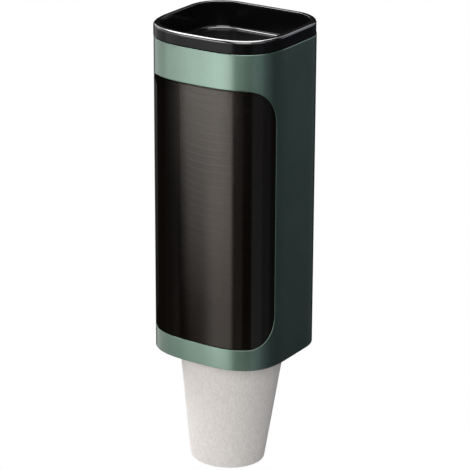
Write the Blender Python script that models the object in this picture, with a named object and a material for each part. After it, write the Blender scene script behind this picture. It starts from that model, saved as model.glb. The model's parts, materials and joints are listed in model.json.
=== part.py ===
"""Wall-hung paper cup dispenser: green shell, smoked window, tray lid, sprung outlet and nested cups.

Metres, +Z up, front towards -Y. The world origin is the middle of the adhesive pad's rear face, on the
wall. Everything is laid out in the dispenser's own frame, which an empty carries: its origin lies at the
height of the shell's bottom edge, where the shell is widest.
"""

import math

import bmesh
import bpy
from mathutils import Matrix, Vector

# Gaps between pieces
SEAT_GAP = 0.0003
WINDOW_EDGE_GAP = 0.00035
RUNNING_GAP = 0.00008
SCREW_GAP = 0.0003
CUT_OVERRUN = 0.002

# Faces that meet at less than this are shaded as one curve
SMOOTH_ANGLE = math.radians(35)

# Shell: a straight tube with a bulging front and a flat back
SHELL_WIDTH = 0.098
SHELL_FRONT_DEPTH = 0.0433
SHELL_BACK_DEPTH = 0.0492
SHELL_HEIGHT = 0.225
SHELL_WALL = 0.0024
SHELL_BACK_CORNER = 0.026
SHELL_EDGE_CHAMFER = 0.0006
FRONT_FULLNESS = 3.0
FRONT_STEPS = 12
CORNER_STEPS = 6

# Window: its span is measured along the shell's surface, each way from the middle of the front
WINDOW_HALF_SPAN = 0.0598
WINDOW_BOTTOM = 0.0157
WINDOW_TOP_MARGIN = 0.0234
WINDOW_TOP_CORNER = 0.028
WINDOW_BOTTOM_CORNER = 0.023
WINDOW_THICKNESS = 0.002
WINDOW_FLANGE_WIDTH = 0.003
WINDOW_FLANGE_THICKNESS = 0.0014
WINDOW_BORDER = 0.002
WINDOW_CORNER_STEPS = 6
WINDOW_LEAST_STEP = 0.00008

# Lid: a tray whose wall plugs into the shell
LID_BAND_HEIGHT = 0.009
LID_BAND_INSET = 0.0006
LID_PLUG_GAP = 0.0004
LID_WALL = 0.002
LID_FLOOR = 0.002
LID_DEPTH = 0.0192
LID_LIP_CHAMFER = 0.0008
LID_FLOOR_FILLET = 0.002
FILLET_STEPS = 3

# Paper cup: its rim runs inside the guide, and its foot follows from its height and taper
CUP_HEIGHT = 0.091
CUP_RIM_PLAY = 0.00112
CUP_HALF_ANGLE = math.radians(7.166)
CUP_WALL = 0.00035
CUP_FLOOR = 0.00035
CUP_FOOT_FOLD = 0.0009
CUP_RIM_HEIGHT = 0.0024
CUP_RIM_BULGE = 0.0009
CUP_RIM_CHAMFER = 0.0005
CUP_SIDES = 32
NEST_PITCH = 0.005337
NEST_HEADROOM = 0.010
HANGING_RIM_TOP = 0.00495

# Outlet base: the plate that closes the shell's bottom round the cups
BASE_SETBACK = 0.0008
BASE_THICKNESS = 0.0024
OUTLET_SETBACK = 0.0001
OUTLET_SIDES = 48

# Guide: the sleeve that keeps the lowest rims in line, as wide as the window's flange and the bosses allow
GUIDE_SIDE_GAP = 0.00065
GUIDE_WALL = 0.0016
GUIDE_TOP = 0.0473
GUIDE_LEAD_IN = 0.001
GUIDE_LEAD_HEIGHT = 0.003
GUIDE_NOTCH_GAP = 0.0005

# Retaining pawls, one in each corner of the outlet
PAWL_ANGLES = [math.radians(a) for a in (-135, -45, 45, 135)]
PAWL_PIVOT_SETBACK = 0.0031
PAWL_PIVOT_HEIGHT = 0.0135
PAWL_WIDTH = 0.008
PAWL_HUB_RADIUS = 0.0023
PAWL_TIP_GAP = 0.0003
PAWL_TOE_THICKNESS = 0.0022
PAWL_LEG_THICKNESS = 0.0018
PAWL_LEG_SETBACK = 0.0009
PAWL_HEEL_LENGTH = 0.0036
PAWL_HEEL_THICKNESS = 0.0012
PAWL_SLOT_WIDTH = 0.0032
PIN_RADIUS = 0.001
PIN_SIDES = 16
EAR_THICKNESS = 0.002
EAR_HALF_LENGTH = 0.0022
EAR_HEADROOM = 0.0022
BACKSTOP_THICKNESS = 0.0018

# Torsion springs
SPRING_WIRE = 0.0005
SPRING_COIL_RADIUS = 0.00175
SPRING_TURNS = 2.5
SPRING_STEP = 0.00065
SPRING_LEG = 0.0042
SPRING_POINTS_PER_TURN = 8

# Screws that hold the base to the shell
SCREW_ANGLE = math.radians(22)
SCREW_ANGLES = [SCREW_ANGLE - math.pi, -SCREW_ANGLE, SCREW_ANGLE, math.pi - SCREW_ANGLE]
SCREW_SIDE_INSET = 0.007184
SCREW_SHANK_RADIUS = 0.0011
SCREW_HEAD_RADIUS = 0.0022
SCREW_HEAD_HEIGHT = 0.0015
SCREW_LENGTH = 0.012
SCREW_SIDES = 16
SCREW_RECESS_DEPTH = 0.002
SCREW_PAD_RADIUS = 0.0033
SCREW_PAD_HEIGHT = 0.0022
BOSS_RADIUS = 0.003
BOSS_SIDE_GAP = 0.0006
BOSS_LENGTH = 0.0115
BOSS_HOLE_DEPTH = 0.0105
BOSS_RIB_THICKNESS = 0.003
DRIVE_WIDTH = 0.0006
DRIVE_DEPTH = 0.0007
DRIVE_REACH_SHARE = 0.6

# Wall plate and its hooks
PLATE_WIDTH = 0.056
PLATE_HEIGHT = 0.080
PLATE_THICKNESS = 0.003
PLATE_CORNER = 0.006
PAD_MARGIN = 0.002
PAD_THICKNESS = 0.001
MOUNT_HEIGHT = 0.150
HOOK_SPACING = 0.030
HOOK_WIDTH = 0.008
HOOK_NECK_HEIGHT = 0.004
HOOK_RISE = 0.0062
HOOK_THICKNESS = 0.0024
HOOK_ABOVE_MOUNT = 0.010
HOOK_LIFT = 0.0065
HOOK_SIDE_GAP = 0.0004

# Places that follow from the sizes above
HALF_WIDTH = SHELL_WIDTH / 2
HALF_DEPTH = (SHELL_FRONT_DEPTH + SHELL_BACK_DEPTH) / 2
WINDOW_TOP = SHELL_HEIGHT - WINDOW_TOP_MARGIN
FLANGE_FRONT = SHELL_WALL + SEAT_GAP
FLANGE_BACK = FLANGE_FRONT + WINDOW_FLANGE_THICKNESS
SCREW_CIRCLE_RADIUS = (HALF_WIDTH - SCREW_SIDE_INSET) / math.cos(SCREW_ANGLE)
FLANGE_ROOM = HALF_DEPTH - FLANGE_BACK - GUIDE_SIDE_GAP
BOSS_ROOM = SCREW_CIRCLE_RADIUS - BOSS_RADIUS - BOSS_SIDE_GAP
GUIDE_OUTER_RADIUS = min(FLANGE_ROOM, BOSS_ROOM)
GUIDE_INNER_RADIUS = GUIDE_OUTER_RADIUS - GUIDE_WALL
OUTLET_RADIUS = GUIDE_INNER_RADIUS + OUTLET_SETBACK
PAWL_PIVOT_RADIUS = GUIDE_OUTER_RADIUS + PAWL_PIVOT_SETBACK
PAWL_LEG_OUTER_RADIUS = GUIDE_OUTER_RADIUS + PAWL_LEG_SETBACK
COLUMN_Y = (SHELL_BACK_DEPTH - SHELL_FRONT_DEPTH) / 2
COLUMN = Vector((0, COLUMN_Y, 0))
PLATE_FRONT_Y = SHELL_BACK_DEPTH + SEAT_GAP
PLATE_REAR_Y = PLATE_FRONT_Y + PLATE_THICKNESS
PAD_FRONT_Y = PLATE_REAR_Y + SEAT_GAP
WALL_Y = PAD_FRONT_Y + PAD_THICKNESS
BASE_TOP = BASE_SETBACK + BASE_THICKNESS
BASE_INSET = SHELL_WALL + SEAT_GAP
SCREW_PAD_TOP = BASE_TOP + SCREW_PAD_HEIGHT
EAR_INNER = PAWL_WIDTH / 2 + SEAT_GAP
BRACKET_HALF_WIDTH = EAR_INNER + EAR_THICKNESS
CUP_SLOPE = math.tan(CUP_HALF_ANGLE)
CUP_FLOOR_RECESS = NEST_PITCH - CUP_FLOOR - SEAT_GAP
CUP_RIM_RADIUS = GUIDE_INNER_RADIUS - CUP_RIM_PLAY
CUP_TOP_RADIUS = CUP_RIM_RADIUS - CUP_RIM_BULGE
CUP_FOOT_RADIUS = CUP_TOP_RADIUS - CUP_HEIGHT * CUP_SLOPE
CUP_DROP = CUP_HEIGHT - HANGING_RIM_TOP
LID_BAND_BOTTOM = SHELL_HEIGHT + SEAT_GAP
LID_TOP = LID_BAND_BOTTOM + LID_BAND_HEIGHT
LID_UNDERSIDE = LID_TOP - LID_DEPTH - LID_FLOOR
NEST_COUNT = 1 + int((LID_UNDERSIDE - NEST_HEADROOM - HANGING_RIM_TOP) / NEST_PITCH)

# Colours of the materials, as linear red, green and blue
SAGE_GREEN = (0.24, 0.34, 0.29)
GLOSS_BLACK = (0.012, 0.012, 0.013)
SMOKED_BROWN = (0.045, 0.035, 0.028)
PAPER_GREY = (0.66, 0.64, 0.61)
STEEL_GREY = (0.55, 0.55, 0.56)
NATURAL_WHITE = (0.72, 0.72, 0.70)
FOAM_GREY = (0.25, 0.26, 0.27)


def make_material(name, colour, roughness, metallic=0.0, alpha=1.0):
    """Principled material with one colour."""
    material = bpy.data.materials.new(name)
    material.use_nodes = True
    shader = material.node_tree.nodes["Principled BSDF"]
    shader.inputs["Base Color"].default_value = (*colour, 1.0)
    shader.inputs["Roughness"].default_value = roughness
    shader.inputs["Metallic"].default_value = metallic
    shader.inputs["Alpha"].default_value = alpha
    return material


def make_materials():
    """The dispenser's finishes by name."""
    return {
        "shell": make_material("satin_green_shell", SAGE_GREEN, 0.32, metallic=0.3),
        "black": make_material("gloss_black_plastic", GLOSS_BLACK, 0.12),
        "window": make_material("smoked_window", SMOKED_BROWN, 0.05, alpha=0.6),
        "paper": make_material("cup_paper", PAPER_GREY, 0.85),
        "steel": make_material("bright_steel", STEEL_GREY, 0.3, metallic=1.0),
        "white": make_material("natural_plastic", NATURAL_WHITE, 0.4),
        "foam": make_material("adhesive_foam", FOAM_GREY, 0.9),
    }


def place(mesh, name, origin, material=None, at=(0, 0, 0), turn=0.0, smooth=False):
    """New object from a mesh, held by the origin empty, moved to a place and turned about the vertical."""
    part = bpy.data.objects.new(name, mesh)
    bpy.context.scene.collection.objects.link(part)
    part.parent = origin
    part.location = at
    part.rotation_euler = (0, 0, turn)
    if material is not None:
        mesh.materials.append(material)
    if smooth:
        mesh.shade_smooth()
        mesh.set_sharp_from_angle(angle=SMOOTH_ANGLE)
    return part


def finished_mesh(bm, name):
    """Mesh of a bmesh whose faces all point outwards."""
    bmesh.ops.recalc_face_normals(bm, faces=bm.faces)
    mesh = bpy.data.meshes.new(name)
    bm.to_mesh(mesh)
    bm.free()
    return mesh


def combine(part, operation, tool):
    """Join a tool to a part, or cut it away, with a Boolean."""
    tool.hide_render = True
    tool.display_type = "WIRE"
    modifier = part.modifiers.new(tool.name, "BOOLEAN")
    modifier.operation = operation
    modifier.object = tool


def box_mesh(name, low, high):
    """Box between two corners."""
    bm = bmesh.new()
    bmesh.ops.create_cube(bm, size=1.0)
    low = Vector(low)
    high = Vector(high)
    size = Matrix.Diagonal((*(high - low), 1.0))
    bmesh.ops.transform(bm, matrix=Matrix.Translation((low + high) / 2) @ size, verts=bm.verts)
    return finished_mesh(bm, name)


def turned_mesh(name, profile, sides):
    """Solid turned about Z from points of (radius, height); a radius of zero is a pole."""
    bm = bmesh.new()
    rings = []
    for radius, height in profile:
        if radius == 0:
            rings.append([bm.verts.new((0, 0, height))])
            continue
        angles = [math.tau * step / sides for step in range(sides)]
        rings.append([bm.verts.new((radius * math.cos(a), radius * math.sin(a), height)) for a in angles])
    following = rings[1:] if len(rings[0]) == 1 else rings[1:] + rings[:1]
    for ring, beyond in zip(rings, following):
        for step in range(sides):
            after = (step + 1) % sides
            corners = [ring[step % len(ring)], ring[after % len(ring)]]
            corners += [beyond[after % len(beyond)], beyond[step % len(beyond)]]
            bm.faces.new(dict.fromkeys(corners))
    return finished_mesh(bm, name)


def extruded_mesh(name, outline, half_width):
    """Flat outline in the XZ plane, given thickness along Y."""
    bm = bmesh.new()
    sides = [[bm.verts.new((x, y, z)) for x, z in outline] for y in (-half_width, half_width)]
    for side in sides:
        bm.faces.new(side)
    count = len(outline)
    for step in range(count):
        after = (step + 1) % count
        bm.faces.new((sides[0][step], sides[0][after], sides[1][after], sides[1][step]))
    return finished_mesh(bm, name)


def arc(centre, radius, start, end, steps):
    """Points on an arc, both ends included."""
    angles = [start + (end - start) * step / steps for step in range(steps + 1)]
    return [(centre[0] + radius * math.cos(a), centre[1] + radius * math.sin(a)) for a in angles]


def shell_outline():
    """Outer outline of the shell, anticlockwise from the middle of the front."""
    power = 2 / FRONT_FULLNESS
    right = []
    for step in range(FRONT_STEPS):
        angle = math.pi / 2 * step / FRONT_STEPS
        x = HALF_WIDTH * math.sin(angle) ** power
        right.append((x, -SHELL_FRONT_DEPTH * math.cos(angle) ** power))
    right.append((HALF_WIDTH, 0))
    centre = (HALF_WIDTH - SHELL_BACK_CORNER, SHELL_BACK_DEPTH - SHELL_BACK_CORNER)
    right += arc(centre, SHELL_BACK_CORNER, 0, math.pi / 2, CORNER_STEPS)
    left = [(-x, y) for x, y in reversed(right[1:])]
    return [Vector(point) for point in right + left]


def inset_outline(distance):
    """Outline of the shell moved inwards, point for point."""
    outline = shell_outline()
    count = len(outline)
    moved = []
    for step, point in enumerate(outline):
        before = (point - outline[step - 1]).normalized()
        after = (outline[(step + 1) % count] - point).normalized()
        normal_before = Vector((before.y, -before.x))
        normal_after = Vector((after.y, -after.x))
        mitre = (normal_before + normal_after).normalized()
        moved.append(point - mitre * distance / mitre.dot(normal_after))
    return moved


def front_stations():
    """Distance along the outline from the middle of the front, for each point of the right half."""
    outline = shell_outline()
    stations = [0.0]
    for before, after in zip(outline, outline[1 : len(outline) // 2 + 1]):
        stations.append(stations[-1] + (after - before).length)
    return stations


def surface_point(along, inset):
    """Point at a distance along the outline and a depth below the surface."""
    stations = front_stations()
    outline = inset_outline(inset)
    side = 1 if along >= 0 else -1
    reach = abs(along)
    step = max(i for i, station in enumerate(stations[:-1]) if station <= reach)
    share = (reach - stations[step]) / (stations[step + 1] - stations[step])
    point = outline[step].lerp(outline[step + 1], share)
    return Vector((side * point.x, point.y))


def lofted_mesh(name, rings, open_ended):
    """Skin over copies of the shell's outline, each given as (inset, height)."""
    bm = bmesh.new()
    loops = []
    for inset, height in rings:
        loops.append([bm.verts.new((point.x, point.y, height)) for point in inset_outline(inset)])
    count = len(loops[0])
    following = loops[1:] + loops[:1] if open_ended else loops[1:]
    for loop, beyond in zip(loops, following):
        for step in range(count):
            after = (step + 1) % count
            bm.faces.new((loop[step], loop[after], beyond[after], beyond[step]))
    if not open_ended:
        bm.faces.new(loops[0])
        bm.faces.new(loops[-1])
    return finished_mesh(bm, name)


def window_columns(grow):
    """Stations along the window, each with the heights of its lower and upper edge."""
    half_span = WINDOW_HALF_SPAN + grow
    top_corner = WINDOW_TOP_CORNER + grow
    bottom_corner = WINDOW_BOTTOM_CORNER + grow
    reach = {station for station in front_stations() if station < half_span - WINDOW_LEAST_STEP}
    for corner in (top_corner, bottom_corner):
        for step in range(WINDOW_CORNER_STEPS + 1):
            angle = math.pi / 2 * step / WINDOW_CORNER_STEPS
            reach.add(half_span - corner + corner * math.sin(angle))
    kept = []
    for station in sorted(reach):
        if not kept or station - kept[-1] > WINDOW_LEAST_STEP:
            kept.append(station)
    kept[-1] = half_span
    columns = []
    for station in [-s for s in reversed(kept) if s > 0] + kept:
        low = WINDOW_BOTTOM - grow + corner_rise(abs(station), half_span, bottom_corner)
        high = WINDOW_TOP + grow - corner_rise(abs(station), half_span, top_corner)
        columns.append((station, low, high))
    return columns


def corner_rise(reach, half_span, corner):
    """How far a rounded corner has drawn the edge in at a distance from the middle."""
    past = max(0.0, reach - (half_span - corner))
    return corner - math.sqrt(max(0.0, corner**2 - past**2))


def window_slab(name, grow, outer_inset, inner_inset):
    """Slab that follows the shell's front, cut to the window's outline."""
    bm = bmesh.new()
    columns = []
    for station, low, high in window_columns(grow):
        outer = surface_point(station, outer_inset)
        inner = surface_point(station, inner_inset)
        corners = [(outer, low), (outer, high), (inner, high), (inner, low)]
        columns.append([bm.verts.new((point.x, point.y, height)) for point, height in corners])
    for column, beyond in zip(columns, columns[1:]):
        for corner in range(len(column)):
            after = (corner + 1) % len(column)
            bm.faces.new((column[corner], column[after], beyond[after], beyond[corner]))
    bm.faces.new(columns[0])
    bm.faces.new(columns[-1])
    return finished_mesh(bm, name)


def on_circle(radius, angle, height=0.0):
    """Point round the column of cups."""
    return COLUMN + Vector((radius * math.cos(angle), radius * math.sin(angle), height))


def build_shell(origin, materials):
    """Green tube, open at both ends, with the window's opening, hook slots and screw bosses."""
    chamfer = SHELL_EDGE_CHAMFER
    rings = [
        (chamfer, 0),
        (0, chamfer),
        (0, SHELL_HEIGHT - chamfer),
        (chamfer, SHELL_HEIGHT),
        (SHELL_WALL, SHELL_HEIGHT),
        (SHELL_WALL, 0),
    ]
    tube = lofted_mesh("body_shell", rings, True)
    shell = place(tube, "body_shell", origin, materials["shell"], smooth=True)
    opening = window_slab("window_opening", WINDOW_EDGE_GAP, -CUT_OVERRUN, SHELL_WALL + CUT_OVERRUN)
    combine(shell, "DIFFERENCE", place(opening, "window_opening", origin))

    slot_top = MOUNT_HEIGHT + HOOK_ABOVE_MOUNT + HOOK_NECK_HEIGHT + SEAT_GAP
    slot_bottom = MOUNT_HEIGHT + HOOK_ABOVE_MOUNT - HOOK_LIFT - SEAT_GAP
    slot_half = HOOK_WIDTH / 2 + HOOK_SIDE_GAP
    for side, x in enumerate((-HOOK_SPACING / 2, HOOK_SPACING / 2), start=1):
        low = (x - slot_half, SHELL_BACK_DEPTH - SHELL_WALL - CUT_OVERRUN, slot_bottom)
        high = (x + slot_half, SHELL_BACK_DEPTH + CUT_OVERRUN, slot_top)
        name = f"hook_slot_{side}"
        combine(shell, "DIFFERENCE", place(box_mesh(name, low, high), name, origin))

    boss_bottom = SCREW_PAD_TOP + SEAT_GAP
    boss_top = boss_bottom + BOSS_LENGTH
    hole_top = boss_bottom + BOSS_HOLE_DEPTH
    hole_radius = SCREW_SHANK_RADIUS + SCREW_GAP
    boss_profile = [(0, boss_bottom), (BOSS_RADIUS, boss_bottom), (BOSS_RADIUS, boss_top), (0, boss_top)]
    hole_bottom = boss_bottom - CUT_OVERRUN
    hole_profile = [(0, hole_bottom), (hole_radius, hole_bottom), (hole_radius, hole_top), (0, hole_top)]
    for number, angle in enumerate(SCREW_ANGLES, start=1):
        centre = on_circle(SCREW_CIRCLE_RADIUS, angle)
        boss = place(turned_mesh("boss", boss_profile, SCREW_SIDES), f"boss_{number}", origin, at=centre)
        side = math.copysign(1, centre.x)
        wall_x = side * (HALF_WIDTH - SHELL_WALL / 2)
        low = (min(centre.x, wall_x), centre.y - BOSS_RIB_THICKNESS / 2, boss_bottom + SEAT_GAP)
        high = (max(centre.x, wall_x), centre.y + BOSS_RIB_THICKNESS / 2, boss_top - SEAT_GAP)
        rib = place(box_mesh("rib", low, high), f"rib_{number}", origin)
        drilling = turned_mesh("boss_hole", hole_profile, SCREW_SIDES)
        hole = place(drilling, f"boss_hole_{number}", origin, at=centre)
        combine(shell, "UNION", rib)
        combine(shell, "UNION", boss)
        combine(shell, "DIFFERENCE", hole)


def build_window(origin, materials):
    """Smoked panel, flush with the shell, with a flange that lies behind the shell's wall."""
    border_back = FLANGE_FRONT + WINDOW_FLANGE_THICKNESS / 2
    panel = window_slab("front_window", 0, 0, border_back)
    window = place(panel, "front_window", origin, materials["window"], smooth=True)
    flange = window_slab("window_flange", WINDOW_FLANGE_WIDTH, FLANGE_FRONT, FLANGE_BACK)
    combine(window, "UNION", place(flange, "window_flange", origin))
    pocket = window_slab("window_pocket", -WINDOW_BORDER, WINDOW_THICKNESS, FLANGE_BACK + CUT_OVERRUN)
    combine(window, "DIFFERENCE", place(pocket, "window_pocket", origin, smooth=True))


def build_lid(origin, materials):
    """Tray lid: a band above the shell, a wall that plugs into it and a recessed floor."""
    plug_inset = SHELL_WALL + LID_PLUG_GAP
    inner_inset = plug_inset + LID_WALL
    floor = LID_UNDERSIDE + LID_FLOOR
    fillet_centre = (inner_inset + LID_FLOOR_FILLET, floor + LID_FLOOR_FILLET)
    fillet = arc(fillet_centre, LID_FLOOR_FILLET, math.pi, math.pi * 1.5, FILLET_STEPS)
    rings = [
        (plug_inset, LID_UNDERSIDE),
        (plug_inset, LID_BAND_BOTTOM),
        (LID_BAND_INSET, LID_BAND_BOTTOM),
        (LID_BAND_INSET, LID_TOP - LID_LIP_CHAMFER),
        (LID_BAND_INSET + LID_LIP_CHAMFER, LID_TOP),
        (inner_inset - LID_LIP_CHAMFER, LID_TOP),
        (inner_inset, LID_TOP - LID_LIP_CHAMFER),
        *fillet,
    ]
    tray = lofted_mesh("lid_tray", rings, False)
    place(tray, "lid_tray", origin, materials["black"], smooth=True)


def build_base(origin, materials):
    """Outlet base: plate with the cups' hole, four pawl brackets and four screw pads."""
    rings = [(BASE_INSET, BASE_SETBACK), (BASE_INSET, BASE_TOP)]
    plate = lofted_mesh("outlet_base", rings, False)
    base = place(plate, "outlet_base", origin, materials["black"], smooth=True)
    low = BASE_SETBACK - CUT_OVERRUN
    high = BASE_TOP + CUT_OVERRUN
    hole_profile = [(0, low), (OUTLET_RADIUS, low), (OUTLET_RADIUS, high), (0, high)]
    hole = place(turned_mesh("outlet_hole", hole_profile, OUTLET_SIDES), "outlet_hole", origin, at=COLUMN)
    combine(base, "DIFFERENCE", hole)
    for number, angle in enumerate(PAWL_ANGLES, start=1):
        add_bracket(base, number, angle, origin)
    for number, angle in enumerate(SCREW_ANGLES, start=1):
        add_screw_pad(base, number, angle, origin)


def add_bracket(base, number, angle, origin):
    """Two ears and a backstop round a pawl, with the pin's holes."""
    foot = BASE_TOP - BASE_THICKNESS / 2
    ear_low_x = PAWL_PIVOT_RADIUS - EAR_HALF_LENGTH
    stop_low_x = PAWL_PIVOT_RADIUS + EAR_HALF_LENGTH
    ear_high_x = stop_low_x + SEAT_GAP
    ear_top = PAWL_PIVOT_HEIGHT + EAR_HEADROOM
    stop_top = PAWL_PIVOT_HEIGHT - PAWL_HEEL_THICKNESS - SEAT_GAP
    for side in (-1, 1):
        near, far = sorted((side * EAR_INNER, side * BRACKET_HALF_WIDTH))
        ear = box_mesh("ear", (ear_low_x, near, foot), (ear_high_x, far, ear_top))
        name = f"ear_{number}_{'left' if side < 0 else 'right'}"
        combine(base, "UNION", place(ear, name, origin, at=COLUMN, turn=angle))
    stop_low = (stop_low_x, -BRACKET_HALF_WIDTH + SEAT_GAP, foot)
    stop_high = (stop_low_x + BACKSTOP_THICKNESS, BRACKET_HALF_WIDTH - SEAT_GAP, stop_top)
    stop = place(box_mesh("stop", stop_low, stop_high), f"stop_{number}", origin, at=COLUMN, turn=angle)
    combine(base, "UNION", stop)
    reach = BRACKET_HALF_WIDTH + CUT_OVERRUN
    bore = pin_mesh("pin_bore", PIN_RADIUS + RUNNING_GAP, reach)
    at = on_circle(PAWL_PIVOT_RADIUS, angle, PAWL_PIVOT_HEIGHT)
    combine(base, "DIFFERENCE", place(bore, f"pin_bore_{number}", origin, at=at, turn=angle))


def add_screw_pad(base, number, angle, origin):
    """Raised pad over a screw, with the screw's hole and the recess for its head."""
    centre = on_circle(SCREW_CIRCLE_RADIUS, angle)
    foot = BASE_TOP - BASE_THICKNESS / 2
    top = SCREW_PAD_TOP
    pad_profile = [(0, foot), (SCREW_PAD_RADIUS, foot), (SCREW_PAD_RADIUS, top), (0, top)]
    pad = place(turned_mesh("pad", pad_profile, SCREW_SIDES), f"pad_{number}", origin, at=centre)
    combine(base, "UNION", pad)
    head_radius = SCREW_HEAD_RADIUS + SCREW_GAP
    shank_radius = SCREW_SHANK_RADIUS + SCREW_GAP
    recess_top = BASE_SETBACK + SCREW_RECESS_DEPTH
    low = BASE_SETBACK - CUT_OVERRUN
    high = top + CUT_OVERRUN
    cut_profile = [(0, low), (head_radius, low), (head_radius, recess_top), (shank_radius, recess_top)]
    cut_profile += [(shank_radius, high), (0, high)]
    recess = place(turned_mesh("recess", cut_profile, SCREW_SIDES), f"recess_{number}", origin, at=centre)
    combine(base, "DIFFERENCE", recess)


def build_guide(origin, materials):
    """Sleeve that stands on the base, notched round the pawls, with a lead-in at its top."""
    foot = BASE_TOP + SEAT_GAP
    profile = [
        (GUIDE_OUTER_RADIUS, foot),
        (GUIDE_OUTER_RADIUS, GUIDE_TOP),
        (GUIDE_INNER_RADIUS + GUIDE_LEAD_IN, GUIDE_TOP),
        (GUIDE_INNER_RADIUS, GUIDE_TOP - GUIDE_LEAD_HEIGHT),
        (GUIDE_INNER_RADIUS, foot),
    ]
    sleeve = turned_mesh("cup_guide", profile, OUTLET_SIDES)
    guide = place(sleeve, "cup_guide", origin, materials["black"], at=COLUMN, smooth=True)
    notch_half = BRACKET_HALF_WIDTH + GUIDE_NOTCH_GAP
    notch_top = PAWL_PIVOT_HEIGHT + EAR_HEADROOM + GUIDE_NOTCH_GAP
    low = (GUIDE_INNER_RADIUS - CUT_OVERRUN, -notch_half, foot - CUT_OVERRUN)
    high = (GUIDE_OUTER_RADIUS + CUT_OVERRUN, notch_half, notch_top)
    for number, angle in enumerate(PAWL_ANGLES, start=1):
        notch = place(box_mesh("notch", low, high), f"notch_{number}", origin, at=COLUMN, turn=angle)
        combine(guide, "DIFFERENCE", notch)


def pin_mesh(name, radius, half_length):
    """Round bar along Y."""
    profile = [(0, -half_length), (radius, -half_length), (radius, half_length), (0, half_length)]
    mesh = turned_mesh(name, profile, PIN_SIDES)
    mesh.transform(Matrix.Rotation(math.pi / 2, 4, "X"))
    return mesh


def pawl_outline():
    """Side view of a pawl about its pivot: hub, heel, leg and the toe that carries a rim."""
    rim_above = CUP_HEIGHT - CUP_DROP + NEST_PITCH - CUP_RIM_HEIGHT
    toe_top = rim_above - PAWL_TIP_GAP - PAWL_PIVOT_HEIGHT
    toe_bottom = toe_top - PAWL_TOE_THICKNESS
    held_foot = NEST_PITCH - CUP_DROP
    wall_radius = CUP_FOOT_RADIUS + (rim_above - held_foot) * CUP_SLOPE
    tip = wall_radius + PAWL_TIP_GAP - PAWL_PIVOT_RADIUS
    leg_outer = PAWL_LEG_OUTER_RADIUS - PAWL_PIVOT_RADIUS
    leg_inner = leg_outer - PAWL_LEG_THICKNESS
    hub = arc((0, 0), PAWL_HUB_RADIUS, math.pi / 2, math.pi, FILLET_STEPS)
    return [
        (tip, toe_bottom),
        (leg_outer, toe_bottom),
        (leg_outer, -PAWL_HUB_RADIUS),
        (PAWL_HUB_RADIUS / 2, -PAWL_HUB_RADIUS),
        (PAWL_HUB_RADIUS, -PAWL_HEEL_THICKNESS),
        (PAWL_HEEL_LENGTH, -PAWL_HEEL_THICKNESS),
        (PAWL_HEEL_LENGTH, 0),
        (PAWL_HUB_RADIUS, PAWL_HEEL_THICKNESS),
        (PAWL_HUB_RADIUS / 2, PAWL_HUB_RADIUS),
        *hub,
        (leg_inner, -PAWL_HUB_RADIUS / 2),
        (leg_inner, toe_top),
        (tip, toe_top),
    ]


def build_pawls(origin, materials):
    """Four sprung pawls, each on its own pin."""
    reach = PAWL_HEEL_LENGTH + CUT_OVERRUN
    leg_outer = PAWL_LEG_OUTER_RADIUS - PAWL_PIVOT_RADIUS
    slot_low = (leg_outer, -PAWL_SLOT_WIDTH / 2, -reach)
    slot_high = (reach, PAWL_SLOT_WIDTH / 2, reach)
    for number, angle in enumerate(PAWL_ANGLES, start=1):
        at = on_circle(PAWL_PIVOT_RADIUS, angle, PAWL_PIVOT_HEIGHT)
        blank = extruded_mesh("pawl", pawl_outline(), PAWL_WIDTH / 2)
        pawl = place(blank, f"retaining_pawl_{number}", origin, materials["white"], at=at, turn=angle)
        bore = pin_mesh("pawl_bore", PIN_RADIUS + RUNNING_GAP, PAWL_WIDTH / 2 + CUT_OVERRUN)
        combine(pawl, "DIFFERENCE", place(bore, f"pawl_bore_{number}", origin, at=at, turn=angle))
        slot = box_mesh("pawl_slot", slot_low, slot_high)
        combine(pawl, "DIFFERENCE", place(slot, f"pawl_slot_{number}", origin, at=at, turn=angle))
        pin = pin_mesh("pawl_pin", PIN_RADIUS, BRACKET_HALF_WIDTH)
        place(pin, f"pawl_pin_{number}", origin, materials["steel"], at, angle, smooth=True)
        build_spring(number, at, angle, origin, materials["steel"])


def spring_path():
    """Wire of a torsion spring: a leg on the pawl, the coil round the pin and a leg on the backstop."""
    radius = SPRING_COIL_RADIUS
    half_coil = SPRING_TURNS * SPRING_STEP / 2
    path = [(-radius, -half_coil, -SPRING_LEG), (-radius, -half_coil, -SPRING_LEG / 2)]
    steps = round(SPRING_TURNS * SPRING_POINTS_PER_TURN)
    for step in range(steps + 1):
        share = step / steps
        angle = math.pi - math.tau * SPRING_TURNS * share
        across = half_coil * (2 * share - 1)
        path.append((radius * math.cos(angle), across, radius * math.sin(angle)))
    path += [(radius, half_coil, -SPRING_LEG / 2), (radius, half_coil, -SPRING_LEG)]
    return path


def build_spring(number, at, angle, origin, material):
    """Torsion spring as one wire."""
    name = f"pawl_spring_{number}"
    curve = bpy.data.curves.new(name, "CURVE")
    curve.dimensions = "3D"
    curve.bevel_depth = SPRING_WIRE / 2
    curve.bevel_resolution = 1
    curve.use_fill_caps = True
    spline = curve.splines.new("POLY")
    path = spring_path()
    spline.points.add(len(path) - 1)
    for point, position in zip(spline.points, path):
        point.co = (*position, 1.0)
    curve.materials.append(material)
    spring = bpy.data.objects.new(name, curve)
    bpy.context.scene.collection.objects.link(spring)
    spring.parent = origin
    spring.location = at
    spring.rotation_euler = (0, 0, angle)


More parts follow.
